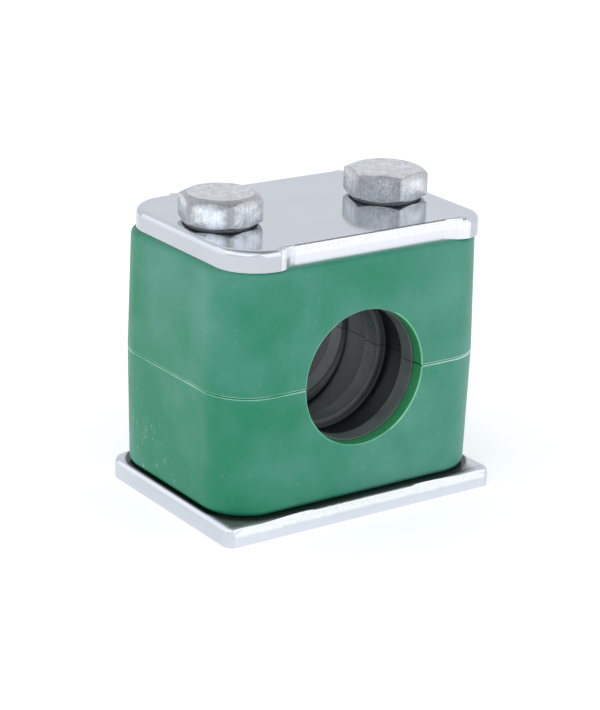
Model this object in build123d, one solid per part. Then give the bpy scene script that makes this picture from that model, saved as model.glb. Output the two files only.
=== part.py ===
from build123d import *
import math
import os

# Two-bolt hydraulic tube clamp on a weld plate, closed, with no tube in it.
# Millimetres. X runs from bolt to bolt, Y along the tube, Z up from the weld plate's underside.
# The origin lies on that underside, midway between the two bolts.

# tube and bolts
TUBE_D = 18.0              # largest tube that the clamp takes
BOLT_SPACING = 26.6
BOLT_D = 6.0               # M6, drawn over the thread crests
BOLT_LENGTH = 35.0         # from under the head to the tip
THREAD_FIT = 0.05          # radial, stands for the meshing threads
TIP_CHAMFER = 0.8
HEAD_FLATS = 10.0
HEAD_H = 4.0
HEAD_CHAMFER_DEG = 28.0    # turned chamfer that rounds the hexagon's corners off
HEAD_FACE_D = 9.3          # flat circle left inside that chamfer
HEAD_DISH = 0.15           # forged hollow in the flat circle
HEAD_DISH_RIM = 1.0        # width of its sloping rim
WASHER_FACE_D = 9.2        # raised ring under the head
WASHER_FACE_H = 0.3
HEAD_TURN_LEFT = 10.5      # how far each hexagon stopped turning, in degrees
HEAD_TURN_RIGHT = 13.8

# moulded body, two equal halves
BODY_END = 7.7             # from a bolt's axis to the body's end
BODY_W = 30.0              # at the parting line, where the mouldings are widest
BODY_H = 33.0
BODY_CORNER_R = 6.5
BODY_DRAFT_DEG = 1.0
BODY_EDGE = 0.5            # round the outer face
PARTING_GAP = 0.1
PARTING_CHAMFER = 0.15
BOLT_HOLE_D = 6.4

# rubber liner, two equal halves behind a lip at each face
LIP_CLEAR = 0.25           # the moulded lips stand this far off the tube
LIP_W = 1.8
LIP_CHAMFER = 0.3
LINER_WALL = 0.8           # rubber behind the grooves
LINER_CLEAR = 0.1          # round the liner and at its two ends
RIB_COUNT = 4
RIB_PITCH = 8.0
RIB_CREST_W = 2.6
RIB_FLANK_W = 0.35         # one sloping flank, along the tube
RIB_H = 1.2
WAIST_GROOVE_H = 0.5       # the middle groove's depth beside the bolts
MERGE = 0.1                # how far shapes that fuse run into each other
PAST = 1.0                 # how far a cutting tool runs past the faces it cuts

# weld plate with two formed and threaded collars
WELD_REACH = 0.5           # beyond each end of the body
WELD_W = 30.6
WELD_T = 2.8
WELD_SHIFT = -0.7          # the blank lies this far off the bolt line, along the tube
WELD_CORNER_R = 1.2
WELD_REAR_LEFT_R = 1.8
WELD_EDGE_CHAMFER = 0.2
COLLAR_D = 9.5
COLLAR_H = 6.0             # above the plate
COLLAR_ROOT = 0.5          # sloping root of the collar, and the counterbore's mouth over it
COLLAR_DRAW = 0.9          # where the underside was drawn into the collar
COLLAR_CLEAR = 0.3         # round the collar, in the body's counterbore
COLLAR_TOP_CLEAR = 0.5

# cover plate: a strip with wider, rounded ends
COVER_INSET = 1.1          # inside each end of the body
COVER_T = 2.8
COVER_W = 27.2             # sheared long sides
COVER_END_W = 29.2         # punched ends
COVER_LEFT_R = 7.2
COVER_RIGHT_R = 5.2
COVER_HOLE_D = 6.6
COVER_ROLL = 0.4           # rolled-over top edge of the punched ends

# sizes that follow
BODY_L = BOLT_SPACING + 2 * BODY_END
WELD_L = BODY_L + 2 * WELD_REACH
COVER_L = BODY_L - 2 * COVER_INSET
BORE_Z = WELD_T + BODY_H / 2
COVER_Z = WELD_T + BODY_H
HEAD_Z = COVER_Z + COVER_T
BOLT_X = BOLT_SPACING / 2
LIP_R = TUBE_D / 2 + LIP_CLEAR
POCKET_L = BODY_W - 2 * LIP_W
CREST_R = TUBE_D / 2
GROOVE_R = CREST_R + RIB_H
LINER_R = GROOVE_R + LINER_WALL
LINER_L = POCKET_L - 2 * LINER_CLEAR


def at_bolts(shape):
    """The shape copied to both bolt positions."""
    return [Pos(side * BOLT_X, 0, 0) * shape for side in (-1, 1)]


def rod(radius, low, high):
    """An upright cylinder between two heights."""
    return Pos(0, 0, low) * extrude(Circle(radius), high - low)


def along_tube(profile, length):
    """A profile drawn in X and Z, extruded along the tube, centred on the body."""
    return extrude(Plane.XZ * profile, length / 2, both=True)


def rims(shape, radius, height):
    """The circular edges of one radius that lie at one height."""
    near = 0.01
    circles = shape.edges().filter_by(GeomType.CIRCLE)
    return [e for e in circles if abs(e.radius - radius) < near and abs(e.center().Z - height) < near]


def weld_plate():
    outline = Rectangle(WELD_L, WELD_W)
    outline = fillet(outline.vertices().sort_by(lambda v: v.X - v.Y)[0], WELD_REAR_LEFT_R)
    outline = fillet(outline.vertices().sort_by(lambda v: v.X - v.Y)[2:], WELD_CORNER_R)
    plate = extrude(Pos(0, WELD_SHIFT) * outline, WELD_T)
    plate = chamfer(plate.faces().sort_by(Axis.Z)[-1].edges(), WELD_EDGE_CHAMFER)
    collar_top = WELD_T + COLLAR_H
    plate += at_bolts(rod(COLLAR_D / 2, 0, collar_top))
    plate = chamfer(rims(plate, COLLAR_D / 2, WELD_T), COLLAR_ROOT)
    thread_r = BOLT_D / 2 + THREAD_FIT
    plate -= at_bolts(rod(thread_r, -PAST, collar_top + PAST))
    return chamfer(rims(plate, thread_r, 0), COLLAR_DRAW)


def half_body():
    """One moulded half: parting face at the bottom, outer face on top, bore axis at z = 0."""
    low = PARTING_GAP / 2
    high = BODY_H / 2
    outline = RectangleRounded(BODY_L, BODY_W, BODY_CORNER_R)
    half = Pos(0, 0, low) * extrude(outline, high - low, taper=BODY_DRAFT_DEG)
    half = chamfer(half.faces().sort_by(Axis.Z)[-1].edges(), BODY_EDGE)
    half = chamfer(half.faces().sort_by(Axis.Z)[0].edges(), PARTING_CHAMFER)
    half -= along_tube(Circle(LIP_R), BODY_W + 2 * PAST)
    mouth_r = LIP_R + LIP_CHAMFER
    mouth = Cone(mouth_r + PAST, mouth_r - PAST, 2 * PAST)
    for side in (-1, 1):
        half -= Pos(0, side * BODY_W / 2, 0) * Rot(90 * side, 0, 0) * mouth
    half -= along_tube(Circle(LINER_R + LINER_CLEAR), POCKET_L)
    counterbore_r = COLLAR_D / 2 + COLLAR_CLEAR
    counterbore_depth = COLLAR_H + COLLAR_TOP_CLEAR
    half -= at_bolts(rod(BOLT_HOLE_D / 2, low - PAST, high + PAST))
    half -= at_bolts(rod(counterbore_r, high - counterbore_depth, high + PAST))
    return chamfer(rims(half, counterbore_r, high), COLLAR_ROOT)


def rib_profile():
    """The liner's section, radius in X and place along the tube in Y, ribs towards the axis."""
    section = Pos(GROOVE_R, 0) * Rectangle(LINER_WALL, LINER_L, align=(Align.MIN, Align.CENTER))
    crest = RIB_CREST_W / 2
    foot = crest + RIB_FLANK_W
    foot_r = GROOVE_R + MERGE
    for i in range(RIB_COUNT):
        y = (i - (RIB_COUNT - 1) / 2) * RIB_PITCH
        rib = [(foot_r, y - foot), (CREST_R, y - crest), (CREST_R, y + crest), (foot_r, y + foot)]
        section += Polygon(*rib, align=None)
    return section & Rectangle(LINER_R, LINER_L, align=(Align.MIN, Align.CENTER))


def half_liner():
    """One rubber half, lying over the bore axis at z = 0, with a waist where each bolt passes."""
    ring = revolve(rib_profile(), Axis.Y, 360)
    middle_w = RIB_PITCH - RIB_CREST_W
    band = Circle(GROOVE_R + MERGE) - Ellipse(CREST_R + WAIST_GROOVE_H, GROOVE_R)
    ring += along_tube(band, middle_w)
    low = PARTING_GAP / 2
    above = Pos(0, 0, low) * extrude(Rectangle(3 * LINER_R, 2 * LINER_L), 2 * LINER_R)
    return (ring & above) - at_bolts(rod(BOLT_HOLE_D / 2, -PAST, 2 * LINER_R))


def upper(half):
    return Pos(0, 0, BORE_Z) * half


def lower(half):
    """The same moulding turned over about the tube's axis."""
    return Pos(0, 0, BORE_Z) * Rot(0, 180, 0) * half


def cover_end(corner_r):
    """A punched end that points along X from 0, as long as its rounded corners."""
    end = Rectangle(corner_r, COVER_END_W, align=(Align.MAX, Align.CENTER))
    return fillet(end.vertices().sort_by(Axis.X)[-2:], corner_r)


def cover_plate():
    waist_l = COVER_L - COVER_LEFT_R - COVER_RIGHT_R + 2 * MERGE
    outline = Pos((COVER_LEFT_R - COVER_RIGHT_R) / 2, 0) * Rectangle(waist_l, COVER_W)
    outline += Pos(COVER_L / 2, 0) * cover_end(COVER_RIGHT_R)
    outline += Pos(-COVER_L / 2, 0) * Rot(0, 0, 180) * cover_end(COVER_LEFT_R)
    plate = Pos(0, 0, COVER_Z) * extrude(outline, COVER_T)
    top = plate.faces().sort_by(Axis.Z)[-1].edges()
    ends = [e for e in top if abs(e.center().X) > COVER_L / 2 - MERGE]
    plate = chamfer(top.filter_by(GeomType.CIRCLE) + ends, COVER_ROLL)
    return plate - at_bolts(rod(COVER_HOLE_D / 2, COVER_Z - PAST, HEAD_Z + PAST))


def bolt(turn):
    """A full-thread hexagon bolt on the Z axis, its thread left as a plain shank."""
    shank = rod(BOLT_D / 2, HEAD_Z - BOLT_LENGTH, HEAD_Z + WASHER_FACE_H)
    shank = chamfer(shank.edges().sort_by(Axis.Z)[0], TIP_CHAMFER)
    washer = rod(WASHER_FACE_D / 2, HEAD_Z, HEAD_Z + WASHER_FACE_H)
    hexagon = RegularPolygon(HEAD_FLATS / 2, 6, major_radius=False)
    corner_r = HEAD_FLATS / math.sqrt(3)
    prism = Pos(0, 0, HEAD_Z + WASHER_FACE_H) * extrude(hexagon, HEAD_H - WASHER_FACE_H)
    drop = (corner_r - HEAD_FACE_D / 2) * math.tan(math.radians(HEAD_CHAMFER_DEG))
    top = HEAD_Z + HEAD_H
    turned = Plane.XZ * Polygon(
        (0, HEAD_Z), (corner_r, HEAD_Z), (corner_r, top - drop), (HEAD_FACE_D / 2, top),
        (HEAD_FACE_D / 2 - HEAD_DISH_RIM, top - HEAD_DISH), (0, top - HEAD_DISH), align=None,
    )
    head = prism & revolve(turned, Axis.Z, 360)
    return Rot(0, 0, turn) * (head + washer + shank)


def main():
    nodes = {
        "weld_plate": weld_plate(),
        "lower_half": lower(half_body()),
        "lower_liner": lower(half_liner()),
        "upper_liner": upper(half_liner()),
        "upper_half": upper(half_body()),
        "cover_plate": cover_plate(),
        "bolt_left": Pos(-BOLT_X, 0, 0) * bolt(HEAD_TURN_LEFT),
        "bolt_right": Pos(BOLT_X, 0, 0) * bolt(HEAD_TURN_RIGHT),
    }
    os.makedirs("parts", exist_ok=True)
    for name, shape in nodes.items():
        export_step(shape, f"parts/{name}.step")


main()
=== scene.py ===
import math

import bmesh
import bpy
from mathutils import Matrix, Vector, noise


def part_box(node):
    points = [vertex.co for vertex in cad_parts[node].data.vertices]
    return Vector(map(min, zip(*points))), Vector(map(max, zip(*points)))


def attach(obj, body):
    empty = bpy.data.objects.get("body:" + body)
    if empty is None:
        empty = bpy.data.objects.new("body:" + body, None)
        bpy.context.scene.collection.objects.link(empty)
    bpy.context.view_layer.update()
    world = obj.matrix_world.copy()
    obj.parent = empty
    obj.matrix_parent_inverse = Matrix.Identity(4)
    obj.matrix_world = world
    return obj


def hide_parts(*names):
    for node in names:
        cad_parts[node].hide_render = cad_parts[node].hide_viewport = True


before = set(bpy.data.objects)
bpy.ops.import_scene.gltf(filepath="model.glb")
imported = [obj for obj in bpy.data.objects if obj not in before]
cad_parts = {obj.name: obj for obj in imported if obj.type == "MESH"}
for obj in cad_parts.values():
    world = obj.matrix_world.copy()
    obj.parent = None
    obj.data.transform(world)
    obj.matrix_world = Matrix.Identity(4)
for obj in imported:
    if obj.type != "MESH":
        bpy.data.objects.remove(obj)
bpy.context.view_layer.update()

# ---------------------------------------------------------------------------------------
# Weld plate
# A blank of 2.8 mm bright steel sheet, sheared along its two long sides and punched at its
# ends. Two collars are drawn up out of it and tapped M6 for the bolts.
# ---------------------------------------------------------------------------------------

MM = 0.001
Z = Vector((0, 0, 1))
PAST = 1
CORNER_STEPS = 12
TURNED_STEPS = 96
TINY = 0.0005


def corners(node):
    """A CAD node's lowest and highest corners, in millimetres."""
    low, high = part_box(node)
    return low / MM, high / MM


def bolt_centre(node):
    """The X of a bolt's axis, in millimetres."""
    low, high = corners(node)
    return (low.x + high.x) / 2


def verts_of(made):
    """The vertices that an operator made."""
    return [item for item in made["geom"] if isinstance(item, bmesh.types.BMVert)]


def blank(outline, low, high):
    """Sheet between two heights, cut to (x, y, corner radius) points."""
    bm = bmesh.new()
    verts = [bm.verts.new((x, y, low)) for x, y, radius in outline]
    bm.faces.new(verts)
    for vert, (x, y, radius) in zip(verts, outline):
        if radius:
            bmesh.ops.bevel(
                bm,
                geom=[vert],
                offset=radius,
                affect="VERTICES",
                segments=CORNER_STEPS,
                profile=0.5,
                material=-1,
            )
    made = bmesh.ops.extrude_face_region(bm, geom=bm.faces[:])
    bmesh.ops.translate(bm, verts=verts_of(made), vec=Z * (high - low))
    bmesh.ops.recalc_face_normals(bm, faces=bm.faces)
    return bm


def round_edges(bm, chosen, offset, segments=3):
    """Rounds each edge that the test picks."""
    edges = [e for e in bm.edges if chosen(e)]
    bmesh.ops.bevel(
        bm, geom=edges, offset=offset, affect="EDGES", segments=segments, profile=0.5, material=-1
    )


def middle(edge):
    """The middle point of an edge."""
    return (edge.verts[0].co + edge.verts[1].co) / 2


def is_level(edge, height):
    """Whether an edge lies flat at a height."""
    return all(abs(v.co.z - height) < 0.01 for v in edge.verts)


def turned(bm, centre_x, section, steps=TURNED_STEPS):
    """A closed turned shape from (radius, height) points, both ends on the axis."""
    verts = [bm.verts.new((centre_x + radius, 0, height)) for radius, height in section]
    edges = [bm.edges.new(pair) for pair in zip(verts, verts[1:])]
    bmesh.ops.spin(
        bm,
        geom=verts + edges,
        cent=(centre_x, 0, 0),
        axis=Z,
        angle=math.tau,
        steps=steps,
        use_merge=True,
    )
    bmesh.ops.remove_doubles(bm, verts=bm.verts[:], dist=TINY)
    bmesh.ops.recalc_face_normals(bm, faces=bm.faces)


THREAD_PITCH = 1.0
THREAD_STEPS = 36


def thread(bm, centre_x, base_r, crest_r, low, high):
    """A right-hand M6 thread as one closed ridge wound about a bolt's axis."""
    half = THREAD_PITCH / 2
    crest = THREAD_PITCH / 12
    start = low - low % THREAD_PITCH
    section = [(base_r, -half), (crest_r, -crest), (crest_r, crest), (base_r, half)]
    verts = [bm.verts.new((centre_x + r, 0, start + h)) for r, h in section]
    face = bm.faces.new(verts)
    turns = math.floor((high - start) / THREAD_PITCH)
    bmesh.ops.spin(
        bm,
        geom=[face, *face.edges, *face.verts],
        cent=(centre_x, 0, 0),
        axis=Z,
        dvec=Z * THREAD_PITCH / THREAD_STEPS,
        angle=math.tau * turns,
        steps=THREAD_STEPS * turns,
    )


def cut_away(target, cutter):
    """Takes a closed cutter mesh out of a bmesh and returns the result."""
    made = []
    for label, bm in (("target", target), ("cutter", cutter)):
        mesh = bpy.data.meshes.new(label)
        bm.to_mesh(mesh)
        bm.free()
        obj = bpy.data.objects.new(label, mesh)
        bpy.context.collection.objects.link(obj)
        made.append(obj)
    cut = made[0].modifiers.new("cut", "BOOLEAN")
    cut.operation = "DIFFERENCE"
    cut.solver = "EXACT"
    cut.use_self = True
    cut.object = made[1]
    bpy.context.view_layer.update()
    result = bmesh.new()
    result.from_mesh(made[0].evaluated_get(bpy.context.evaluated_depsgraph_get()).to_mesh())
    for obj in made:
        bpy.data.meshes.remove(obj.data)
    bmesh.ops.remove_doubles(result, verts=result.verts[:], dist=2 * TINY)
    bmesh.ops.dissolve_degenerate(result, dist=TINY, edges=result.edges[:])
    return result


def make_piece(name, bm, materials, body, slot, *nodes, sharp=35):
    """Turns a bmesh in millimetres into a finished piece that rides on a body."""
    bmesh.ops.scale(bm, vec=Vector((MM, MM, MM)), verts=bm.verts[:])
    mesh = bpy.data.meshes.new(name)
    bm.to_mesh(mesh)
    bm.free()
    for material in materials:
        mesh.materials.append(material)
    mesh.shade_smooth()
    mesh.set_sharp_from_angle(angle=math.radians(sharp))
    obj = bpy.data.objects.new(name, mesh)
    bpy.context.collection.objects.link(obj)
    flat = obj.modifiers.new("flat faces", "WEIGHTED_NORMAL")
    flat.weight = 100
    flat.keep_sharp = True
    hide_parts(*nodes)
    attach(obj, body)
    return obj


def new_group(name, inputs, outputs):
    """An empty shader node group with float inputs (name, default) and outputs (name, type)."""
    group = bpy.data.node_groups.new(name, "ShaderNodeTree")
    group.interface.new_socket("Place", in_out="INPUT", socket_type="NodeSocketVector")
    for label, value in inputs:
        socket = group.interface.new_socket(label, in_out="INPUT", socket_type="NodeSocketFloat")
        socket.default_value = value
    for label, kind in outputs:
        group.interface.new_socket(label, in_out="OUTPUT", socket_type=kind)
    return group


def add(tree, kind, **settings):
    """Adds a shader node. Settings with a capital are input sockets, the others properties."""
    node = tree.nodes.new("ShaderNode" + kind)
    for key, value in settings.items():
        if key[0].isupper():
            node.inputs[key.replace("_", " ")].default_value = value
        else:
            setattr(node, key, value)
    return node


def join(tree, *pairs):
    """Links pairs of sockets, each from an output to an input."""
    for source, target in pairs:
        tree.links.new(source, target)


def drawn_lines_group():
    """Fine lines left by rolling or shearing, long along X and close together across it."""
    group = new_group(
        "drawn lines",
        [("Length", 8.0), ("Fineness", 900.0), ("Detail", 4.0)],
        [("Lines", "NodeSocketFloat")],
    )
    entry = group.nodes.new("NodeGroupInput")
    leave = group.nodes.new("NodeGroupOutput")
    split = add(group, "SeparateXYZ")
    along = add(group, "Math", operation="MULTIPLY")
    across = add(group, "Math", operation="MULTIPLY")
    up = add(group, "Math", operation="MULTIPLY")
    place = add(group, "CombineXYZ")
    lines = add(group, "TexNoise", Scale=1.0, Roughness=0.65)
    join(
        group,
        (entry.outputs["Place"], split.inputs[0]),
        (split.outputs["X"], along.inputs[0]),
        (entry.outputs["Length"], along.inputs[1]),
        (split.outputs["Y"], across.inputs[0]),
        (entry.outputs["Fineness"], across.inputs[1]),
        (split.outputs["Z"], up.inputs[0]),
        (entry.outputs["Fineness"], up.inputs[1]),
        (along.outputs[0], place.inputs["X"]),
        (across.outputs[0], place.inputs["Y"]),
        (up.outputs[0], place.inputs["Z"]),
        (place.outputs[0], lines.inputs["Vector"]),
        (entry.outputs["Detail"], lines.inputs["Detail"]),
        (lines.outputs["Fac"], leave.inputs["Lines"]),
    )
    return group


def cloud_group():
    """Broad uneven patches, as of handling, cooling or plating, centred on zero."""
    group = new_group("cloud", [("Scale", 100.0), ("Amount", 0.1)], [("Change", "NodeSocketFloat")])
    entry = group.nodes.new("NodeGroupInput")
    leave = group.nodes.new("NodeGroupOutput")
    patches = add(group, "TexNoise", Detail=3.0, Roughness=0.55)
    centred = add(group, "Math", operation="SUBTRACT")
    centred.inputs[1].default_value = 0.5
    amount = add(group, "Math", operation="MULTIPLY")
    join(
        group,
        (entry.outputs["Place"], patches.inputs["Vector"]),
        (entry.outputs["Scale"], patches.inputs["Scale"]),
        (patches.outputs["Fac"], centred.inputs[0]),
        (centred.outputs[0], amount.inputs[0]),
        (entry.outputs["Amount"], amount.inputs[1]),
        (amount.outputs[0], leave.inputs["Change"]),
    )
    return group


def specks_group():
    """Small scattered marks: one where there is a mark and nought elsewhere."""
    group = new_group("specks", [("Scale", 900.0), ("Size", 0.2)], [("Mark", "NodeSocketFloat")])
    entry = group.nodes.new("NodeGroupInput")
    leave = group.nodes.new("NodeGroupOutput")
    cells = add(group, "TexVoronoi")
    mark = add(group, "MapRange", interpolation_type="SMOOTHSTEP", To_Min=1.0, To_Max=0.0)
    mark.inputs["From Min"].default_value = 0.0
    join(
        group,
        (entry.outputs["Place"], cells.inputs["Vector"]),
        (entry.outputs["Scale"], cells.inputs["Scale"]),
        (cells.outputs["Distance"], mark.inputs["Value"]),
        (entry.outputs["Size"], mark.inputs["From Max"]),
        (mark.outputs[0], leave.inputs["Mark"]),
    )
    return group


def seam_group():
    """Painted shade on a plate along the foot of a rounded block: one at its wall, fading outwards.
    """
    group = new_group(
        "seam",
        [("Half Length", 0.021), ("Half Width", 0.015), ("Corner", 0.0065), ("Reach", 0.001)],
        [("Painted Shade", "NodeSocketFloat")],
    )
    entry = group.nodes.new("NodeGroupInput")
    leave = group.nodes.new("NodeGroupOutput")
    flat = add(group, "VectorMath", operation="MULTIPLY")
    flat.inputs[1].default_value = (1, 1, 0)
    size = add(group, "VectorMath", operation="ABSOLUTE")
    half_length = add(group, "Math", operation="SUBTRACT")
    half_width = add(group, "Math", operation="SUBTRACT")
    inner = add(group, "CombineXYZ")
    beyond = add(group, "VectorMath", operation="SUBTRACT")
    outside = add(group, "VectorMath", operation="MAXIMUM")
    length = add(group, "VectorMath", operation="LENGTH")
    gap = add(group, "Math", operation="SUBTRACT")
    fade = add(group, "MapRange", interpolation_type="SMOOTHSTEP", To_Min=1.0, To_Max=0.0)
    fade.inputs["From Min"].default_value = 0.0
    join(
        group,
        (entry.outputs["Place"], flat.inputs[0]),
        (flat.outputs[0], size.inputs[0]),
        (entry.outputs["Half Length"], half_length.inputs[0]),
        (entry.outputs["Corner"], half_length.inputs[1]),
        (entry.outputs["Half Width"], half_width.inputs[0]),
        (entry.outputs["Corner"], half_width.inputs[1]),
        (half_length.outputs[0], inner.inputs["X"]),
        (half_width.outputs[0], inner.inputs["Y"]),
        (size.outputs[0], beyond.inputs[0]),
        (inner.outputs[0], beyond.inputs[1]),
        (beyond.outputs[0], outside.inputs[0]),
        (outside.outputs[0], length.inputs[0]),
        (length.outputs["Value"], gap.inputs[0]),
        (entry.outputs["Corner"], gap.inputs[1]),
        (gap.outputs[0], fade.inputs["Value"]),
        (entry.outputs["Reach"], fade.inputs["From Max"]),
        (fade.outputs[0], leave.inputs["Painted Shade"]),
    )
    return group


DRAWN_LINES = drawn_lines_group()
CLOUD = cloud_group()
SPECKS = specks_group()
SEAM = seam_group()


def new_material(name, **shader_settings):
    """A material with a Principled shader and Object coordinates."""
    material = bpy.data.materials.new(name)
    material.use_nodes = True
    tree = material.node_tree
    shader = tree.nodes["Principled BSDF"]
    for key, value in shader_settings.items():
        shader.inputs[key.replace("_", " ")].default_value = value
    place = tree.nodes.new("ShaderNodeTexCoord")
    return material, tree, shader, place.outputs["Object"]


def effect(tree, group, place, **settings):
    """Places a shared effect in a material, with its own values."""
    node = tree.nodes.new("ShaderNodeGroup")
    node.node_tree = group
    tree.links.new(place, node.inputs["Place"])
    for key, value in settings.items():
        node.inputs[key.replace("_", " ")].default_value = value
    return node.outputs[0]


def spread(tree, value, low, high, start=0.0, end=1.0):
    """Maps a value that runs from start to end on to low to high."""
    node = add(tree, "MapRange", From_Min=start, From_Max=end, To_Min=low, To_Max=high)
    tree.links.new(value, node.inputs["Value"])
    return node.outputs[0]


def total(tree, first, second, operation="ADD"):
    """Adds two values, or joins them by another operation."""
    node = add(tree, "Math", operation=operation)
    join(tree, (first, node.inputs[0]), (second, node.inputs[1]))
    return node.outputs[0]


def bump(tree, shader, height, distance):
    """Feeds a height to the shader's normal, where one stands for a distance in millimetres."""
    node = add(tree, "Bump", Strength=1.0, Distance=distance * MM)
    join(tree, (height, node.inputs["Height"]), (node.outputs[0], shader.inputs["Normal"]))


def by_name(sockets, identifier):
    """The Mix node's sockets share names, so they are found by identifier."""
    return next(socket for socket in sockets if socket.identifier == identifier)


def tint(tree, shader, factor, first, second):
    """Sets the base colour to two colours mixed by a factor."""
    node = add(tree, "Mix", data_type="RGBA")
    by_name(node.inputs, "A_Color").default_value = (*first, 1)
    by_name(node.inputs, "B_Color").default_value = (*second, 1)
    join(
        tree,
        (factor, by_name(node.inputs, "Factor_Float")),
        (by_name(node.outputs, "Result_Color"), shader.inputs["Base Color"]),
    )


def stain(tree, shader, factor, colour):
    """Mixes one more colour over the base colour where the factor is high."""
    under = shader.inputs["Base Color"].links[0].from_socket
    node = add(tree, "Mix", data_type="RGBA")
    by_name(node.inputs, "B_Color").default_value = (*colour, 1)
    join(
        tree,
        (factor, by_name(node.inputs, "Factor_Float")),
        (under, by_name(node.inputs, "A_Color")),
        (by_name(node.outputs, "Result_Color"), shader.inputs["Base Color"]),
    )


SHEET_DARK = (0.60, 0.63, 0.69)
SHEET_LIGHT = (0.66, 0.685, 0.735)


def bright_sheet(name):
    """Bright rolled face of the steel sheet."""
    material, tree, shader, place = new_material(name, Metallic=1.0)
    lines = effect(tree, DRAWN_LINES, place, Length=30.0, Fineness=2600.0)
    patches = effect(tree, CLOUD, place, Scale=140.0, Amount=1.0)
    tint(tree, shader, spread(tree, patches, 0, 1, -0.3, 0.3), SHEET_DARK, SHEET_LIGHT)
    lined = spread(tree, lines, 0.07, 0.13, 0.3, 0.7)
    patched = spread(tree, patches, -0.02, 0.03, -0.3, 0.3)
    tree.links.new(total(tree, lined, patched), shader.inputs["Roughness"])
    bump(tree, shader, lines, 0.0006)
    return material, tree, shader, place


SHEAR_BREAK = 0.52
SHEAR_PITS = (0.45, 0.47, 0.5)


def sheared_edge(name, low, high, torn, burnished):
    """Cut edge of the sheet: a granular torn band over a band burnished by the blade."""
    material, tree, shader, place = new_material(name, Metallic=1.0)
    turned_place = add(tree, "Mapping", vector_type="POINT")
    turned_place.inputs["Rotation"].default_value = (0, math.pi / 2, 0)
    tree.links.new(place, turned_place.inputs["Vector"])
    scores = effect(tree, DRAWN_LINES, turned_place.outputs[0], Length=160.0, Fineness=3600.0)
    grains = add(tree, "TexNoise", Scale=4200.0, Detail=5.0, Roughness=0.75)
    split = add(tree, "SeparateXYZ")
    join(tree, (place, grains.inputs["Vector"]), (place, split.inputs[0]))
    waver = effect(tree, CLOUD, place, Scale=500.0, Amount=0.22)
    height = spread(tree, split.outputs["Z"], 0, 1, low * MM, high * MM)
    band = spread(tree, total(tree, height, waver), 0, 1, SHEAR_BREAK - 0.06, SHEAR_BREAK + 0.06)
    tint(tree, shader, band, burnished, torn)
    pits = spread(tree, grains.outputs["Fac"], 0.55, 0, 0.32, 0.5)
    stain(tree, shader, total(tree, pits, band, "MULTIPLY"), SHEAR_PITS)
    tree.links.new(spread(tree, band, 0.3, 0.5), shader.inputs["Roughness"])
    grain = spread(tree, grains.outputs["Fac"], -1, 1)
    rough = total(tree, grain, spread(tree, band, 0.15, 1.0), "MULTIPLY")
    bump(tree, shader, total(tree, rough, spread(tree, scores, -0.4, 0.4)), 0.03)
    return material


FOOT_CORNER_R = 6.5
WELD_CORNER_R = 1.2
WELD_REAR_LEFT_R = 2.6
WELD_ROLL = 0.85
PUNCHED_END = 2.8
COLLAR_D = 9.5
COLLAR_SUNK = 0.5
COLLAR_ROOT = 0.5
COLLAR_FILLET = 0.15
COLLAR_RIM = 0.25
COLLAR_DRAW = 0.9
DRILL_TOP = 12
THREAD_CREST_R = 3.0
THREAD_CORE_R = 2.45
THREAD_CLEAR = 0.03
SHEAR_ROUGH = 0.07
SHEAR_ROUND = 0.28
SHEAR_COLUMN = 0.14
SHEAR_ROWS = 16
LEVEL_BORDER = 0.08
BOLT_X = (bolt_centre("bolt_left"), bolt_centre("bolt_right"))
weld_low, weld_high = corners("weld_plate")
weld_top = corners("lower_half")[0].z


def shear(bm, side_y, low, high, seed):
    """Breaks up a sheared long side: a rough upper band and a burnished lower one, cut inwards."""
    inward = -math.copysign(1, side_y)
    upright = [f for f in bm.faces if abs(f.normal.y) > 0.99]
    faces = [f for f in upright if abs(f.calc_center_median().y - side_y) < 0.01]
    for axis, step in ((Vector((1, 0, 0)), SHEAR_COLUMN), (Z, (high - low) / SHEAR_ROWS)):
        spots = [v.co.dot(axis) for f in faces for v in f.verts]
        first, last = min(spots), max(spots)
        for i in range(1, round((last - first) / step)):
            geom = list({item for f in faces for item in (f, *f.edges, *f.verts)})
            cut = first + i * step
            made = bmesh.ops.bisect_plane(
                bm, geom=geom, plane_co=axis * cut, plane_no=axis, dist=0.0001
            )
            faces = [item for item in made["geom"] if isinstance(item, bmesh.types.BMFace)]
    for vert in {v for f in faces for v in f.verts}:
        up = (vert.co.z - low) / (high - low)
        waver = 0.05 * noise.noise(Vector((vert.co.x * 0.5, seed, 0)))
        torn = max(0, min(1, (up - SHEAR_BREAK - waver) * 8))
        grain = 0.5 + 0.5 * noise.fractal(vert.co * 3.1 + Vector((0, seed, 0)), 1.0, 2.0, 4)
        score = 0.5 + 0.5 * noise.noise(Vector((vert.co.x * 4, seed, vert.co.z * 0.3)))
        rolled = max(0, vert.co.z - high + SHEAR_ROUND) / SHEAR_ROUND
        vert.co.y += inward * SHEAR_ROUGH * (torn * (0.5 + grain) + (1 - torn) * 0.35 * score)
        vert.co.y += inward * SHEAR_ROUND * (1 - math.sqrt(max(0, 1 - rolled**2)))
        if vert.co.z > high - 0.01:
            vert.co.z -= SHEAR_ROUGH * grain * 0.5
    for face in faces:
        face.material_index = 1


def keep_level(bm, height):
    """Edges a flat top with a narrow border, so that work on its rim leaves the rest level."""
    level = [f for f in bm.faces if f.normal.z > 0.999]
    tops = [f for f in level if abs(f.calc_center_median().z - height) < 0.001]
    bmesh.ops.inset_region(
        bm, faces=tops, thickness=LEVEL_BORDER, use_even_offset=True, use_boundary=True
    )


plate = blank(
    [
        (weld_low.x, weld_low.y, WELD_CORNER_R),
        (weld_high.x, weld_low.y, WELD_CORNER_R),
        (weld_high.x, weld_high.y, WELD_CORNER_R),
        (weld_low.x, weld_high.y, WELD_REAR_LEFT_R),
    ],
    weld_low.z,
    weld_top,
)


def on_punched_end(e):
    """Whether an edge is on the top of either end, its corners with it."""
    return is_level(e, weld_top) and abs(middle(e).x) > weld_high.x - PUNCHED_END


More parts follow.
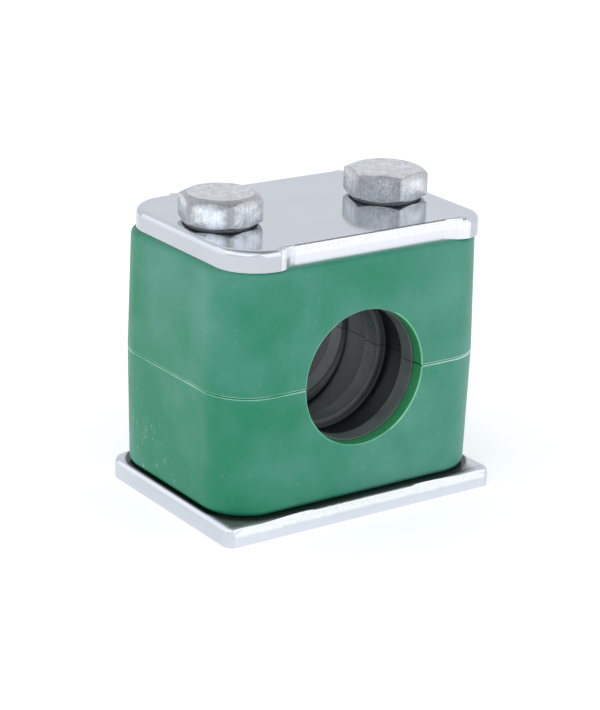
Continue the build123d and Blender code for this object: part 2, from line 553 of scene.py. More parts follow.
round_edges(plate, on_punched_end, WELD_ROLL, 4)
thread_r = THREAD_CREST_R + THREAD_CLEAR
drill = bmesh.new()
for x in BOLT_X:
    turned(
        drill,
        x,
        [
            (0, -PAST),
            (thread_r + COLLAR_DRAW + PAST, -PAST),
            (thread_r, COLLAR_DRAW),
            (thread_r, DRILL_TOP),
            (0, DRILL_TOP),
        ],
    )
for x in BOLT_X:
    outer = COLLAR_D / 2
    turned(
        plate,
        x,
        [
            (0, weld_top - COLLAR_SUNK),
            (outer + COLLAR_ROOT, weld_top - COLLAR_SUNK),
            (outer + COLLAR_ROOT, weld_top),
            (outer + COLLAR_FILLET, weld_top + COLLAR_FILLET),
            (outer, weld_top + COLLAR_ROOT),
            (outer, weld_high.z - COLLAR_RIM),
            (outer - COLLAR_RIM, weld_high.z),
            (0, weld_high.z),
        ],
    )
plate = cut_away(plate, drill)
keep_level(plate, weld_top)
shear(plate, weld_low.y, weld_low.z, weld_top, seed=3)
shear(plate, weld_high.y, weld_low.z, weld_top, seed=11)
thread_low = COLLAR_DRAW + THREAD_PITCH / 2
for x in BOLT_X:
    thread(plate, x, thread_r, THREAD_CORE_R + THREAD_CLEAR, thread_low, weld_high.z)

# Painted shade on the weld plate's top: a patchy dark strip in front of the body, a darker band
# next to its foot and a dark line at its wall.
FRONT_STRIP_SHADE = (0.11, 0.115, 0.1)
FOOT_LINE_SHADE = (0.02, 0.026, 0.023)
FOOT_STRIP_SHADE = (0.012, 0.016, 0.014)
WELD_TORN = (0.90, 0.91, 0.92)
WELD_BURNISHED = (0.70, 0.72, 0.78)


def weld_steel():
    """The bright sheet, with painted shade at the foot of the body and a painted dark strip along
    its front that also dulls the metal.
    """
    material, tree, shader, place = bright_sheet("bright weld plate")
    low, high = corners("lower_half")
    foot = {"Half_Length": high.x * MM, "Half_Width": high.y * MM, "Corner": FOOT_CORNER_R * MM}
    shade_patches = effect(tree, CLOUD, place, Scale=900.0, Amount=0.5)
    split = add(tree, "SeparateXYZ")
    tree.links.new(place, split.inputs[0])
    on_top = spread(tree, split.outputs["Z"], 0, 1, (weld_top - 0.25) * MM, (weld_top - 0.05) * MM)
    front = spread(tree, split.outputs["Y"], 0, 1, (low.y + 5) * MM, (low.y + 3) * MM)
    inside = spread(tree, split.outputs["X"], 0, 1, (low.x - 0.2) * MM, (low.x + 0.3) * MM)
    short_of_end = spread(tree, split.outputs["X"], 1, 0, (high.x - 4) * MM, (high.x - 1.5) * MM)
    along = total(tree, inside, short_of_end, "MULTIPLY")
    strip = total(tree, total(tree, front, along, "MULTIPLY"), on_top, "MULTIPLY")
    near = effect(tree, SEAM, place, Reach=14 * MM, **foot)
    strip_shade = total(tree, total(tree, near, shade_patches), strip, "MULTIPLY")
    stain(tree, shader, strip_shade, FRONT_STRIP_SHADE)
    # Where the shade is painted the metal is made dull, so the dark colour shows.
    tree.links.new(spread(tree, strip_shade, 1, 0.15), shader.inputs["Metallic"])
    line = total(tree, effect(tree, SEAM, place, Reach=0.5 * MM, **foot), on_top, "MULTIPLY")
    stain(tree, shader, line, FOOT_LINE_SHADE)
    deep_strip_shade = total(tree, effect(tree, SEAM, place, Reach=1.5 * MM, **foot), strip, "MULTIPLY")
    stain(tree, shader, deep_strip_shade, FOOT_STRIP_SHADE)
    return material


WELD_STEEL = weld_steel()
WELD_SHEAR = sheared_edge(
    "sheared weld plate edge", weld_low.z, weld_top, WELD_TORN, WELD_BURNISHED
)
make_piece("weld_sheet", plate, [WELD_STEEL, WELD_SHEAR], "base", "weld_steel", "weld_plate")

# ---------------------------------------------------------------------------------------
# Body halves
# Two equal mouldings of green polypropylene that meet on the tube's axis. Each has its draft
# to the outer face, a lip at both ends of the bore and holes for the two bolts.
# ---------------------------------------------------------------------------------------

BODY_CORNER_R = 6.5
BODY_DRAFT = math.tan(math.radians(1))
BODY_EDGE_R = 0.8
BORE_LIP_R = 9.25
BORE_LIP_W = 1.8
BORE_EDGE_R = 0.22
POCKET_R = 11.1
PARTING_R = 0.15
BOLT_HOLE_R = 3.2
COUNTERBORE_R = 5.05
COUNTERBORE_DEPTH = 6.5
COUNTERBORE_CHAMFER = 0.4
POCKET_STEPS = 128
HOLE_STEPS = 64
SHARP_TURN = 0.5

low_half, parting_low = corners("lower_half")
high_half = corners("upper_half")[1]
bore_z = (low_half.z + high_half.z) / 2
parting_gap = bore_z - parting_low.z


def half_moulding():
    """The upper half about a bore axis at z = 0."""
    top = high_half.z - bore_z
    bm = bmesh.new()
    start = Vector((math.sqrt(BORE_LIP_R**2 - parting_gap**2), 0, parting_gap))
    first = bm.verts.new(start)
    sweep = math.pi - 2 * math.asin(parting_gap / BORE_LIP_R)
    bmesh.ops.spin(
        bm, geom=[first], cent=(0, 0, 0), axis=(0, -1, 0), angle=sweep, steps=TURNED_STEPS
    )
    ring = [first]
    while True:
        beside = [e.other_vert(ring[-1]) for e in ring[-1].link_edges]
        onward = [vert for vert in beside if vert not in ring[-2:]]
        if not onward:
            break
        ring.append(onward[0])
    left, right = low_half.x, high_half.x
    for x, z in ((left, parting_gap), (left, top), (right, top), (right, parting_gap)):
        ring.append(bm.verts.new((x, 0, z)))
    bm.faces.new(ring)
    bmesh.ops.translate(bm, verts=bm.verts[:], vec=(0, low_half.y, 0))
    made = bmesh.ops.extrude_face_region(bm, geom=bm.faces[:])
    bmesh.ops.translate(bm, verts=verts_of(made), vec=(0, high_half.y - low_half.y, 0))
    bmesh.ops.recalc_face_normals(bm, faces=bm.faces)

    def is_upright(e):
        x, y, z = middle(e)
        return abs(x) > right - 1 and abs(y) > high_half.y - 1 and abs(z - top / 2) < 1

    round_edges(bm, is_upright, BODY_CORNER_R, 20)

    def is_sharp(e):
        return e.calc_face_angle(0) > SHARP_TURN

    round_edges(bm, lambda e: is_level(e, top) and is_sharp(e), BODY_EDGE_R, 4)
    round_edges(bm, lambda e: abs(middle(e).x) < BORE_LIP_R + 0.01 and is_sharp(e), BORE_EDGE_R, 3)

    def on_parting(e):
        x, y = abs(middle(e).x), abs(middle(e).y)
        outer = x > BORE_LIP_R + 0.5 and (x > right - BODY_CORNER_R or y > high_half.y - 0.1)
        return outer and is_level(e, parting_gap) and is_sharp(e)

    round_edges(bm, on_parting, PARTING_R, 2)
    for vert in bm.verts:
        drawn = BODY_DRAFT * max(0, vert.co.z - parting_gap)
        if abs(vert.co.x) > BORE_LIP_R + 2:
            vert.co.x *= 1 - drawn / right
        vert.co.y *= 1 - drawn / high_half.y
    cutter = bmesh.new()
    half_l = high_half.y - BORE_LIP_W
    section = [(0, -half_l), (POCKET_R, -half_l), (POCKET_R, half_l), (0, half_l)]
    turned(cutter, 0, section, POCKET_STEPS)
    bmesh.ops.dissolve_limit(
        cutter, angle_limit=0.001, verts=cutter.verts[:], edges=cutter.edges[:]
    )
    along_tube = Matrix.Rotation(math.pi / 2, 3, "X")
    bmesh.ops.rotate(cutter, verts=cutter.verts[:], cent=(0, 0, 0), matrix=along_tube)
    bm = cut_away(bm, cutter)
    drill = bmesh.new()
    for x in BOLT_X:
        turned(
            drill,
            x,
            [
                (0, -PAST),
                (BOLT_HOLE_R, -PAST),
                (BOLT_HOLE_R, top - COUNTERBORE_DEPTH),
                (COUNTERBORE_R, top - COUNTERBORE_DEPTH),
                (COUNTERBORE_R, top - COUNTERBORE_CHAMFER),
                (COUNTERBORE_R + COUNTERBORE_CHAMFER, top),
                (COUNTERBORE_R + COUNTERBORE_CHAMFER, top + PAST),
                (0, top + PAST),
            ],
            HOLE_STEPS,
        )
    bm = cut_away(bm, drill)
    # Faces by finish: the bore's lip wall gets painted light, its rounded edge a painted highlight,
    # and the parting rounding pale flash with a painted highlight.
    for face in bm.faces:
        centre = face.calc_center_median()
        radius = math.hypot(centre.x, centre.z)
        across = abs(face.normal.y)
        if radius < BORE_LIP_R + BORE_EDGE_R + 0.02 and abs(centre.y) > half_l - 0.01:
            face.material_index = 1 if across < 0.3 else 2 if across < 0.97 else 0
        elif centre.z < parting_gap + PARTING_R + 0.01 and 0.05 < abs(face.normal.z) < 0.97:
            face.material_index = 3
    return bm


SCUFF_PLACE = Vector((-21, 3.5, 5))
SCUFF_FLECK = (0.5, 0.75, 0.66)
SCUFF_CHIP = (0.45, 0.72, 0.62)


def green_plastic(name, dark, light, scuffs=True):
    """Moulded polypropylene, coloured right through, a little translucent."""
    material, tree, shader, place = new_material(
        name,
        Roughness=0.4,
        Subsurface_Weight=0.12,
        Subsurface_Scale=0.002,
        Specular_IOR_Level=0.35,
    )
    shader.inputs["Subsurface Radius"].default_value = (0.4, 1.0, 0.7)
    broad = effect(tree, CLOUD, place, Scale=38.0, Amount=1.0)
    patches = effect(tree, CLOUD, place, Scale=150.0, Amount=0.7)
    # Painted light: the green is lighter towards the upper right and darker towards the lower left.
    toward_light = add(tree, "VectorMath", operation="DOT_PRODUCT")
    toward_light.inputs[1].default_value = (4, 0, 5)
    tree.links.new(place, toward_light.inputs[0])
    painted_light_gradient = spread(tree, toward_light.outputs["Value"], -0.16, 0.14, -0.06, 0.24)
    mottle = total(tree, total(tree, broad, patches), painted_light_gradient)
    tint(tree, shader, spread(tree, mottle, 0, 1, -0.28, 0.28), dark, light)
    grain = effect(tree, CLOUD, place, Scale=3800.0, Amount=1.0)
    ripple = effect(tree, CLOUD, place, Scale=260.0, Amount=6.0)
    bump(tree, shader, total(tree, grain, ripple), 0.006)
    tree.links.new(spread(tree, grain, 0.36, 0.48, -0.3, 0.3), shader.inputs["Roughness"])
    if scuffs:
        rubbed = add(tree, "VectorMath", operation="DISTANCE")
        rubbed.inputs[1].default_value = SCUFF_PLACE * MM
        tree.links.new(place, rubbed.inputs[0])
        worn = spread(tree, rubbed.outputs["Value"], 0.75, 0.1, 2 * MM, 9 * MM)
        streaks = add(tree, "Mapping", Scale=(1, 1.6, 0.7))
        tree.links.new(place, streaks.inputs["Vector"])
        flecks = effect(tree, SPECKS, streaks.outputs[0], Scale=1250.0, Size=0.33)
        where = effect(tree, CLOUD, place, Scale=500.0, Amount=1.0)
        seen = total(tree, flecks, spread(tree, where, 0, 1, 0.02, 0.12), "MULTIPLY")
        stain(tree, shader, total(tree, seen, worn, "MULTIPLY"), SCUFF_FLECK)
        chips = effect(tree, SPECKS, streaks.outputs[0], Scale=620.0, Size=0.33)
        broken = effect(tree, CLOUD, place, Scale=2200.0, Amount=1.0)
        knocked = total(tree, chips, spread(tree, broken, 0, 1, -0.02, 0.1), "MULTIPLY")
        near = spread(tree, rubbed.outputs["Value"], 0.8, 0, 4 * MM, 8 * MM)
        stain(tree, shader, total(tree, knocked, near, "MULTIPLY"), SCUFF_CHIP)
    return material


GREEN_PLASTIC = green_plastic(
    "green polypropylene", (0.008, 0.195, 0.105), (0.068, 0.262, 0.195)
)
# The bore lip wall: the same green, brighter and greener, as painted light glowing through the thin
# lip.
GREEN_LIP_LIT = green_plastic("green bore lip, painted light", (0.022, 0.215, 0.07), (0.04, 0.28, 0.11), False)
# The bore's rounded edge: a much lighter green as a painted highlight.
GREEN_EDGE_HIGHLIGHT = green_plastic("green bore edge highlight", (0.05, 0.34, 0.17), (0.22, 0.55, 0.38), False)
# The parting rounding: pale green, partly real mould flash and partly a painted highlight along the
# edge.
GREEN_FLASH_AND_HIGHLIGHT = green_plastic("green mould flash and highlight", (0.06, 0.36, 0.2), (0.62, 0.85, 0.74), False)
GREENS = [GREEN_PLASTIC, GREEN_LIP_LIT, GREEN_EDGE_HIGHLIGHT, GREEN_FLASH_AND_HIGHLIGHT]

for name, turn, body, node in (
    ("lower_moulding", math.pi, "base", "lower_half"),
    ("upper_moulding", 0, "top", "upper_half"),
):
    half = half_moulding()
    flip = Matrix.Rotation(turn, 3, "Y")
    bmesh.ops.rotate(half, verts=half.verts[:], cent=(0, 0, 0), matrix=flip)
    bmesh.ops.translate(half, verts=half.verts[:], vec=Z * bore_z)
    make_piece(name, half, GREENS, body, "green_plastic", node)

# ---------------------------------------------------------------------------------------
# Liner halves
# Moulded black rubber with four ribs that grip the tube. Each lies in its half's pocket, and
# its middle groove runs out where the bolts pass.
# ---------------------------------------------------------------------------------------

RIB_COUNT = 4
RIB_PITCH = 8.0
RIB_CREST_W = 2.6
RIB_FLANK_W = 0.35
RIB_CREST_R = 9.0
RIB_GROOVE_R = 10.2
RIB_ROUND = 0.25
RIB_END_DROP = 0.35
WAIST_GROOVE_R = 9.5
liner_low, liner_high = corners("upper_liner")
liner_r = liner_high.x
liner_end = liner_high.y


def half_liner():
    """The upper liner about a bore axis at z = 0, its first and last ribs cut off by its ends."""
    bm = bmesh.new()
    points = [(liner_r, -liner_end)]
    crest = RIB_CREST_W / 2
    foot = crest + RIB_FLANK_W
    for i in range(RIB_COUNT):
        y = (i - (RIB_COUNT - 1) / 2) * RIB_PITCH
        points += [(RIB_GROOVE_R, y - foot), (RIB_CREST_R, y - crest)]
        points += [(RIB_CREST_R, y + crest), (RIB_GROOVE_R, y + foot)]
    points.append((liner_r, liner_end))
    points[1] = (RIB_CREST_R + RIB_END_DROP, -liner_end)
    points[-2] = (RIB_CREST_R + RIB_END_DROP, liner_end)
    verts = [bm.verts.new((r, y, 0)) for r, y in points]
    bm.faces.new(verts)
    bmesh.ops.bevel(
        bm,
        geom=verts[1:-1],
        offset=RIB_ROUND,
        affect="VERTICES",
        segments=4,
        profile=0.5,
        material=-1,
    )
    tilt = math.asin((liner_low.z - bore_z) / liner_r)
    lean = Matrix.Rotation(-tilt, 3, "Y")
    bmesh.ops.rotate(bm, verts=bm.verts[:], cent=(0, 0, 0), matrix=lean)
    bmesh.ops.spin(
        bm,
        geom=[*bm.faces, *bm.edges, *bm.verts],
        cent=(0, 0, 0),
        axis=(0, -1, 0),
        angle=math.pi - 2 * tilt,
        steps=TURNED_STEPS,
    )
    for vert in bm.verts:
        radius = math.hypot(vert.co.x, vert.co.z)
        if abs(vert.co.y) < RIB_PITCH / 2 and radius < RIB_GROOVE_R + 0.01:
            level = math.hypot(vert.co.z / RIB_GROOVE_R, vert.co.x / WAIST_GROOVE_R) / radius
            depth = (radius - RIB_CREST_R) / (RIB_GROOVE_R - RIB_CREST_R)
            moved = RIB_CREST_R + depth * (1 / level - RIB_CREST_R)
            vert.co.x *= moved / radius
            vert.co.z *= moved / radius
    bmesh.ops.recalc_face_normals(bm, faces=bm.faces)
    holes = bmesh.new()
    hole_top = liner_r + PAST
    for x in BOLT_X:
        section = [(0, -PAST), (BOLT_HOLE_R, -PAST), (BOLT_HOLE_R, hole_top), (0, hole_top)]
        turned(holes, x, section, HOLE_STEPS)
    return cut_away(bm, holes)


RUBBER_DARK = (0.006, 0.008, 0.010)
RUBBER_LIGHT = (0.017, 0.021, 0.024)
RUBBER_CREST_LIGHT = (0.15, 0.18, 0.175)


def black_rubber():
    """Black rubber, with painted light greying the ribs' crests."""
    material, tree, shader, place = new_material("black rubber", Roughness=0.38)
    patches = effect(tree, CLOUD, place, Scale=300.0, Amount=1.0)
    tint(tree, shader, spread(tree, patches, 0, 1, -0.3, 0.3), RUBBER_DARK, RUBBER_LIGHT)
    from_axis = add(tree, "VectorMath", operation="DISTANCE")
    across_axis = add(tree, "VectorMath", operation="MULTIPLY")
    across_axis.inputs[1].default_value = (1, 0, 1)
    from_axis.inputs[1].default_value = Z * bore_z * MM
    join(tree, (place, across_axis.inputs[0]), (across_axis.outputs[0], from_axis.inputs[0]))
    # Painted light: the crests are greyer near the bore and the grooves stay dark.
    lit_to, lit_from = (RIB_CREST_R + 0.1) * MM, (RIB_CREST_R + 0.7) * MM
    crest = spread(tree, from_axis.outputs["Value"], 0.8, 0, lit_to, lit_from)
    uneven = spread(tree, patches, 0.6, 1.1, -0.3, 0.3)
    stain(tree, shader, total(tree, crest, uneven, "MULTIPLY"), RUBBER_CREST_LIGHT)
    grain = effect(tree, CLOUD, place, Scale=4500.0, Amount=1.0)
    bump(tree, shader, grain, 0.012)
    return material


BLACK_RUBBER = black_rubber()

for name, turn, body, node in (
    ("lower_rubber", math.pi, "base", "lower_liner"),
    ("upper_rubber", 0, "top", "upper_liner"),
):
    liner = half_liner()
    flip = Matrix.Rotation(turn, 3, "Y")
    bmesh.ops.rotate(liner, verts=liner.verts[:], cent=(0, 0, 0), matrix=flip)
    bmesh.ops.translate(liner, verts=liner.verts[:], vec=Z * bore_z)
    make_piece(name, liner, [BLACK_RUBBER], body, "black_rubber", node)

# ---------------------------------------------------------------------------------------
# Cover plate
# A strip of the same sheet: sheared long sides, and wider ends punched round, with a jog
# where the punch met the sheared side.
# ---------------------------------------------------------------------------------------

COVER_WAIST_Y = 13.6
COVER_LEFT_R = 7.2
COVER_RIGHT_R = 4.8
COVER_ROLL = 0.85
COVER_HOLE_R = 3.3
JOG_R = 0.8
JOG_RUN = 1.6
JOG_START = 0.3
BACK_SHIFT = 1.6
COVER_TORN = (0.88, 0.90, 0.92)
COVER_BURNISHED = (0.76, 0.77, 0.82)
SIDE_SHADE = (0.4, 0.41, 0.44)
cover_low, cover_high = corners("cover_plate")
left_jog = cover_low.x + COVER_LEFT_R
right_jog = cover_high.x - COVER_RIGHT_R


def cover_side(y, waist_y, shift):
    """One long side from left to right: down a rounded ramp at each end of the sheared waist."""
    return [
        (left_jog + shift - JOG_START, y, JOG_R),
        (left_jog + shift - JOG_START + JOG_RUN, waist_y, JOG_R),
        (right_jog + shift + JOG_START - JOG_RUN, waist_y, JOG_R),
        (right_jog + shift + JOG_START, y, JOG_R),
    ]


to_jog = JOG_R + JOG_START + 0.05
outline = [
    (cover_low.x, cover_low.y, COVER_LEFT_R - to_jog),
    *cover_side(cover_low.y, -COVER_WAIST_Y, 0),
    (cover_high.x, cover_low.y, COVER_RIGHT_R - to_jog),
    (cover_high.x, cover_high.y, COVER_RIGHT_R - to_jog - BACK_SHIFT),
    *reversed(cover_side(cover_high.y, COVER_WAIST_Y, BACK_SHIFT)),
    (cover_low.x, cover_high.y, COVER_LEFT_R - to_jog),
]
cover = blank(outline, cover_low.z, cover_high.z)


def on_cover_end(e):
    """Whether an edge is on the top of either end, outside the jogs."""
    at_waist = left_jog - JOG_START < middle(e).x < right_jog + JOG_START
    return is_level(e, cover_high.z) and not at_waist


round_edges(cover, on_cover_end, COVER_ROLL, 5)
punch = bmesh.new()
hole_low, hole_high = cover_low.z - PAST, cover_high.z + PAST
for x in BOLT_X:
    section = [(0, hole_low), (COVER_HOLE_R, hole_low), (COVER_HOLE_R, hole_high), (0, hole_high)]
    turned(punch, x, section)
cover = cut_away(cover, punch)
keep_level(cover, cover_high.z)
shear(cover, -COVER_WAIST_Y, cover_low.z, cover_high.z, seed=23)
shear(cover, COVER_WAIST_Y, cover_low.z, cover_high.z, seed=31)
for face in cover.faces:
    between = left_jog - JOG_R < face.calc_center_median().x < right_jog + BACK_SHIFT
    if between and abs(face.normal.y) > 0.5 and abs(face.normal.z) < 0.3:
        face.material_index = 1
COVER_SHEAR = sheared_edge(
    "sheared cover plate edge", cover_low.z, cover_high.z, COVER_TORN, COVER_BURNISHED
)
COVER_STEEL, tree, shader, place = bright_sheet("bright cover plate")
split = add(tree, "SeparateXYZ")
tree.links.new(place, split.inputs[0])
# Painted shade: the cover's sides darker below the roll of its top.
side_top, roll_top = (cover_high.z - 0.9) * MM, (cover_high.z - 0.3) * MM
stain(tree, shader, spread(tree, split.outputs["Z"], 0.45, 0, side_top, roll_top), SIDE_SHADE)
make_piece("cover_sheet", cover, [COVER_STEEL, COVER_SHEAR], "top", "cover_steel", "cover_plate")

# ---------------------------------------------------------------------------------------
# Bolts
# M6 x 35 hexagon bolts threaded to the head, forged, turned under and over the head and
# bright zinc plated. Their heads are plain on top.
# ---------------------------------------------------------------------------------------

HEAD_FLATS = 10.0
HEAD_CORNER_R = HEAD_FLATS / math.sqrt(3)
HEAD_FACE_R = 4.4
HEAD_DISH = 0.12
HEAD_DISH_RIM = 1.0
HEAD_LIP_W = 0.25
HEAD_LIP_H = 0.02
HEAD_STEPS = 144
FOOT_CHAMFER_R = 4.95
FOOT_CHAMFER_H = 0.4
HEAD_EDGE_R = 0.24
WASHER_FACE_R = 4.7
WASHER_FACE_H = 0.24
TIP_CHAMFER = 0.8
FLAT_ANGLE = 30
FRONT_ANGLE = 210
PLAIN, RIM, RING, UNDER, FRONT = range(5)


def bolt(centre_x, turn, chamfer, head_z, top, tip):
    """A hexagon bolt, its head turned to an angle and chamfered by another, with its thread."""
    foot_z = head_z + WASHER_FACE_H
    chamfer_h = (HEAD_CORNER_R - HEAD_FACE_R) * math.tan(math.radians(chamfer))
    bm = bmesh.new()
    turned(
        bm,
        0,
        [
            (0, top - HEAD_DISH),
            (HEAD_FACE_R - HEAD_DISH_RIM, top - HEAD_DISH),
            (HEAD_FACE_R - HEAD_LIP_W, top - HEAD_LIP_H),
            (HEAD_FACE_R, top),
            (HEAD_CORNER_R, top - chamfer_h),
            (HEAD_CORNER_R, foot_z + FOOT_CHAMFER_H),
            (FOOT_CHAMFER_R, foot_z),
            (WASHER_FACE_R, foot_z),
            (WASHER_FACE_R, head_z),
            (0, head_z),
        ],
        HEAD_STEPS,
    )

    def facing(angle):
        return Matrix.Rotation(math.radians(turn + angle), 3, "Z") @ Vector((1, 0, 0))

    flats = []
    for i in range(6):
        outward = facing(FLAT_ANGLE + 60 * i)
        made = bmesh.ops.bisect_plane(
            bm,
            geom=[*bm.faces, *bm.edges, *bm.verts],
            plane_co=outward * HEAD_FLATS / 2,
            plane_no=outward,
            clear_outer=True,
            dist=0.0001,
        )
        rim = [item for item in made["geom_cut"] if isinstance(item, bmesh.types.BMEdge)]
        flats += bmesh.ops.edgeloop_fill(bm, edges=rim)["faces"]
    bmesh.ops.recalc_face_normals(bm, faces=bm.faces)
    for face in bm.faces:
        centre = face.calc_center_median()
        if centre.z < foot_z + 0.01:
            face.material_index = UNDER
        elif 0.2 < face.normal.z < 0.99 and math.hypot(centre.x, centre.y) > HEAD_FACE_R - 0.1:
            face.material_index = RING
    rounded = bmesh.ops.bevel(
        bm,
        geom=list({e for f in flats for e in f.edges}),
        offset=HEAD_EDGE_R,
        affect="EDGES",
        segments=3,
        profile=0.5,
        material=-1,
        clamp_overlap=True,
    )
    for face in rounded["faces"]:
        face.material_index = RIM
    crown = bm.verts.layers.float.new("crown")
    flats = [f for f in bm.faces if abs(f.normal.z) < 0.02 and f.calc_area() > HEAD_FLATS / 2]
    for flat in flats:
        in_front = flat.normal.dot(facing(FRONT_ANGLE)) > 0.99
        flat.material_index = FRONT if in_front else PLAIN
    for vert in bmesh.ops.poke(bm, faces=flats)["verts"]:
        vert[crown] = 1
    for vert in bm.verts:
        if vert.co.z > top - 0.2 and math.hypot(vert.co.x, vert.co.y) < HEAD_FACE_R + 0.05:
            vert[crown] = 1
    core = [(0, tip), (THREAD_CORE_R, tip), (THREAD_CORE_R, head_z + 0.1), (0, head_z + 0.1)]
    turned(bm, 0, core, THREAD_STEPS)
    ridge_low, ridge_high = tip - THREAD_PITCH, head_z - THREAD_PITCH
    thread(bm, 0, THREAD_CORE_R - 0.05, THREAD_CREST_R, ridge_low, ridge_high)
    bmesh.ops.recalc_face_normals(bm, faces=bm.faces)
    for vert in bm.verts:
        reach = math.hypot(vert.co.x, vert.co.y)
        allowed = THREAD_CREST_R - TIP_CHAMFER + vert.co.z - tip
        if vert.co.z < tip + TIP_CHAMFER and reach > allowed:
            vert.co.x *= allowed / reach
            vert.co.y *= allowed / reach
        vert.co.z = max(vert.co.z, tip)
    bmesh.ops.translate(bm, verts=bm.verts[:], vec=(centre_x, 0, 0))
    return bm


FLAT_MARGIN_SHADE = (0.27, 0.27, 0.27)
HEAD_PITS = (0.16, 0.16, 0.17)


def bolt_zinc(name, dark, light, margin_shade=0.0, roughness=0.14, pits=0.0):
    """Bright zinc over a forged head: patches, dents, scores down the flats and painted shade at
    the flats' margins.
    """
    material, tree, shader, place = new_material(name, Metallic=1.0)
    patches = effect(tree, CLOUD, place, Scale=700.0, Amount=1.0)
    turned_place = add(tree, "Mapping", vector_type="POINT")
    turned_place.inputs["Rotation"].default_value = (0, math.pi / 2, 0)
    tree.links.new(place, turned_place.inputs["Vector"])
    scores = effect(tree, DRAWN_LINES, turned_place.outputs[0], Length=150.0, Fineness=3500.0)
    mottle = total(tree, patches, spread(tree, scores, -0.3, 0.3, 0.25, 0.75))
    tint(tree, shader, spread(tree, mottle, 0, 1, -0.3, 0.3), dark, light)
    # Painted reflection: the flats and the top's rim darker at their margins and bright at their
    # centres.
    if margin_shade:
        crowned = add(tree, "Attribute", attribute_name="crown")
        inner = total(tree, crowned.outputs["Fac"], patches)
        stain(tree, shader, spread(tree, inner, margin_shade, 0, 0.12, 0.62), FLAT_MARGIN_SHADE)
    if pits:
        stretched = add(tree, "Mapping", Scale=(1, 1, 0.55))
        tree.links.new(place, stretched.inputs["Vector"])
        pitted = effect(tree, CLOUD, stretched.outputs[0], Scale=6200.0, Amount=1.0)
        stain(tree, shader, spread(tree, pitted, pits, 0, -0.2, 0.2), HEAD_PITS)
    rough = spread(tree, patches, roughness, roughness + 0.12, -0.25, 0.25)
    tree.links.new(rough, shader.inputs["Roughness"])
    dents = add(tree, "TexNoise", Scale=1300.0, Detail=3.0, Roughness=0.6, Distortion=1.2)
    tree.links.new(place, dents.inputs["Vector"])
    dented = spread(tree, dents.outputs["Fac"], 0, 2)
    bump(tree, shader, total(tree, total(tree, scores, patches), dented), 0.045)
    return material


BOLT_ZINC = bolt_zinc("bright zinc", (0.56, 0.58, 0.60), (0.84, 0.87, 0.90), 0.5)
# Painted highlight on the rounded edges of the flats.
RIM_HIGHLIGHT_ZINC = bolt_zinc(
    "zinc with painted edge highlight", (0.85, 0.86, 0.87), (0.98, 0.98, 0.98), roughness=0.25
)
# Painted shade on the left head's chamfer ring, for its dark reflection.
CHAMFER_SHADE_ZINC = bolt_zinc("chamfer zinc with painted shade", (0.42, 0.43, 0.45), (0.54, 0.55, 0.57), roughness=0.2)
UNDER_ZINC = bolt_zinc("shaded zinc", (0.12, 0.125, 0.13), (0.2, 0.205, 0.21), roughness=0.4)
SHINY_ZINC = bolt_zinc("newest zinc", (0.62, 0.68, 0.74), (0.86, 0.92, 0.97), 0.85)
DULL_ZINC = bolt_zinc("pitted zinc", (0.42, 0.44, 0.46), (0.62, 0.64, 0.67), 0.3, 0.25, 0.75)

for name, node, body, turn, chamfer, ring, front in (
    ("left_screw", "bolt_left", "left_bolt", 10.5, 27, CHAMFER_SHADE_ZINC, SHINY_ZINC),
    ("right_screw", "bolt_right", "right_bolt", 13.8, 20, BOLT_ZINC, DULL_ZINC),
):
    bolt_low, bolt_high = corners(node)
    screw = bolt(bolt_centre(node), turn, chamfer, cover_high.z, bolt_high.z, bolt_low.z)
    finishes = [BOLT_ZINC, RIM_HIGHLIGHT_ZINC, ring, UNDER_ZINC, front]
    make_piece(name, screw, finishes, body, "bolt_steel", node)

# ---------------------------------------------------------------------------------------
# Stage
# A plain pale floor, soft white light all round with three soft boxes, and the camera. The
# sky is dimmer overhead, which gives the bright metal its darker creases.
# ---------------------------------------------------------------------------------------

FLOOR_R = 600
FLOOR_GLOW = 0.3
CEILING = 0.4
CEILING_FROM = math.sin(math.radians(46))
CEILING_FULL = math.sin(math.radians(66))
SKY_FRONT = 1.1
SKY_BACK = 0.86
LAMP_DISTANCE = 0.5

floor_mesh = bmesh.new()
bmesh.ops.create_circle(floor_mesh, cap_ends=True, segments=96, radius=FLOOR_R * MM)
mesh = bpy.data.meshes.new("floor")
floor_mesh.to_mesh(mesh)
floor_mesh.free()
floor = bpy.data.objects.new("floor", mesh)
bpy.context.collection.objects.link(floor)
material, tree, shader, place = new_material(
    "pale floor", Roughness=0.8, Emission_Strength=FLOOR_GLOW
)
uneven = effect(tree, CLOUD, place, Scale=4.0, Amount=0.5)
tint(tree, shader, uneven, (0.9, 0.9, 0.9), (0.94, 0.94, 0.94))
shader.inputs["Emission Color"].default_value = (1, 1, 1, 1)
mesh.materials.append(material)

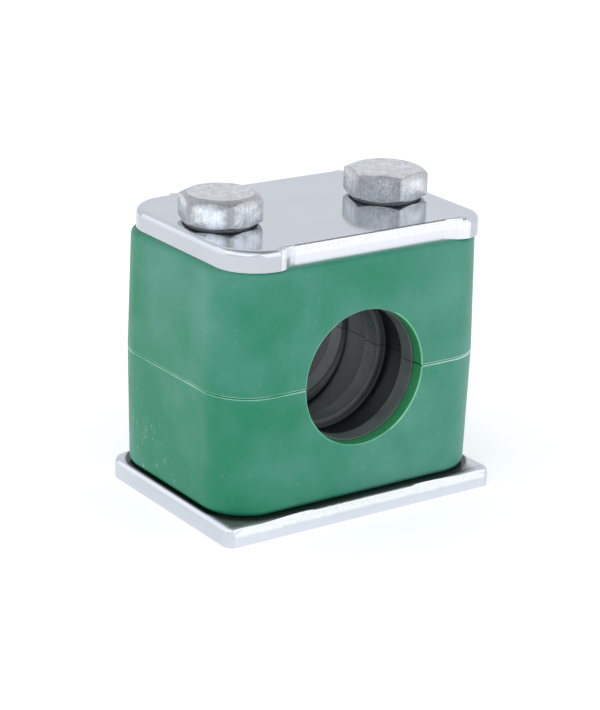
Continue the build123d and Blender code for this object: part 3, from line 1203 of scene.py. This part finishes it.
world = bpy.data.worlds.new("studio")
world.use_nodes = True
tree = world.node_tree
sky = tree.nodes["Background"]
around = add(tree, "TexCoord")
split = add(tree, "SeparateXYZ")
tree.links.new(around.outputs["Generated"], split.inputs[0])
height = spread(tree, split.outputs["Z"], 1, CEILING, CEILING_FROM, CEILING_FULL)
side = spread(tree, split.outputs["Y"], SKY_FRONT, SKY_BACK, -1, 1)
join(tree, (total(tree, height, side, "MULTIPLY"), sky.inputs["Strength"]))
sky.inputs["Color"].default_value = (0.95, 0.97, 1.0, 1)
bpy.context.scene.world = world
bpy.context.scene.view_settings.view_transform = "Standard"


def outwards(azimuth, elevation):
    """The direction from the object to a place given by its angles, nought being the front."""
    a, e = math.radians(azimuth), math.radians(elevation)
    return Vector((math.sin(a) * math.cos(e), -math.cos(a) * math.cos(e), math.sin(e)))


for label, azimuth, elevation, power, size in (
    ("key", -70, 50, 0.5, 0.55),
    ("front", 20, 25, 0.35, 0.5),
    ("left", -125, 25, 0.35, 0.5),
):
    light = bpy.data.lights.new(label, "AREA")
    light.shape = "SQUARE"
    light.size = size
    light.energy = power
    lamp = bpy.data.objects.new(label, light)
    back = outwards(azimuth, elevation)
    lamp.location = back * LAMP_DISTANCE
    lamp.rotation_euler = (-back).to_track_quat("-Z", "Y").to_euler()
    bpy.context.collection.objects.link(lamp)

CAMERA_AZIMUTH = -35.22
CAMERA_ELEVATION = 19.36
CAMERA_ROLL = 1.79
CAMERA_DISTANCE = 319.8
CAMERA_AIM = Vector((0.05, 0, 17.85))
CAMERA_LENS = 119.45

camera = bpy.data.cameras.new("camera")
camera.lens = CAMERA_LENS
camera.sensor_width = 36
camera.clip_start = 0.01
camera.clip_end = 20
view = bpy.data.objects.new("camera", camera)
bpy.context.collection.objects.link(view)
back = outwards(CAMERA_AZIMUTH, CAMERA_ELEVATION)
level = (-back).to_track_quat("-Z", "Y").to_matrix()
view.matrix_world = Matrix.Translation((CAMERA_AIM + back * CAMERA_DISTANCE) * MM) @ (
    level @ Matrix.Rotation(math.radians(CAMERA_ROLL), 3, "Z")
).to_4x4()
bpy.context.scene.camera = view

bpy.context.view_layer.update()
